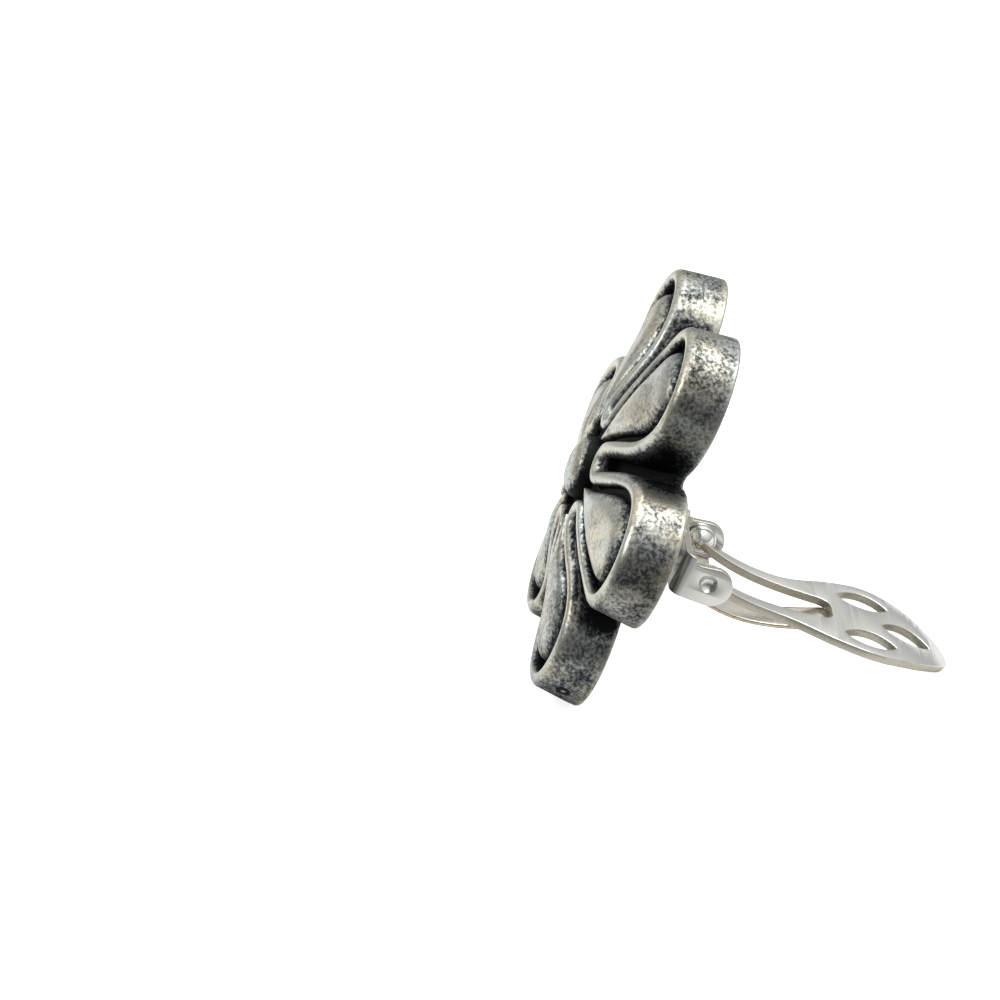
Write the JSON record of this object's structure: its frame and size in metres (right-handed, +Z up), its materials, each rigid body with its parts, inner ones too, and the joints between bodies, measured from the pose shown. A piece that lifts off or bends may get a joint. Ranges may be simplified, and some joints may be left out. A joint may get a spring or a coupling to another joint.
{
  "type": "clip on earring",
  "caption": "Clip-on earring: a chunky petalled flower in antiqued silver with a hinged, leaf-shaped clip on its back, shown open and standing on its petals and clip tip.",
  "frame": {"origin": "on the ground, under the middle of the standing earring's box", "axes": "+Z up, the flower's face looks towards -Y and leans back, the open clip points towards +Y, and X is the hinge's axis"},
  "size_m": [0.0304, 0.0288, 0.0266],
  "materials": {
    "antique_silver": "antiqued silver plating over moulded plastic, near black in the grooves and worn bright on the rims",
    "bright_nickel": "bright nickel plating on stamped steel sheet",
    "spring_bronze": "bronze spring strip, plated on its faces and bare at its cut edges"
  },
  "bodies": {
    "front": {"flower": "antique_silver", "clip_base": "bright_nickel"},
    "clip": {"clip_paddle": "bright_nickel", "spring_tongue": "spring_bronze"}
  },
  "joints": [
    {"name": "clip_hinge", "type": "hinge", "parent": "front", "child": "clip", "pos_m": [0, -0.00267, 0.00799], "axis": [1, 0, 0], "range_deg": [0, 108]}
  ]
}
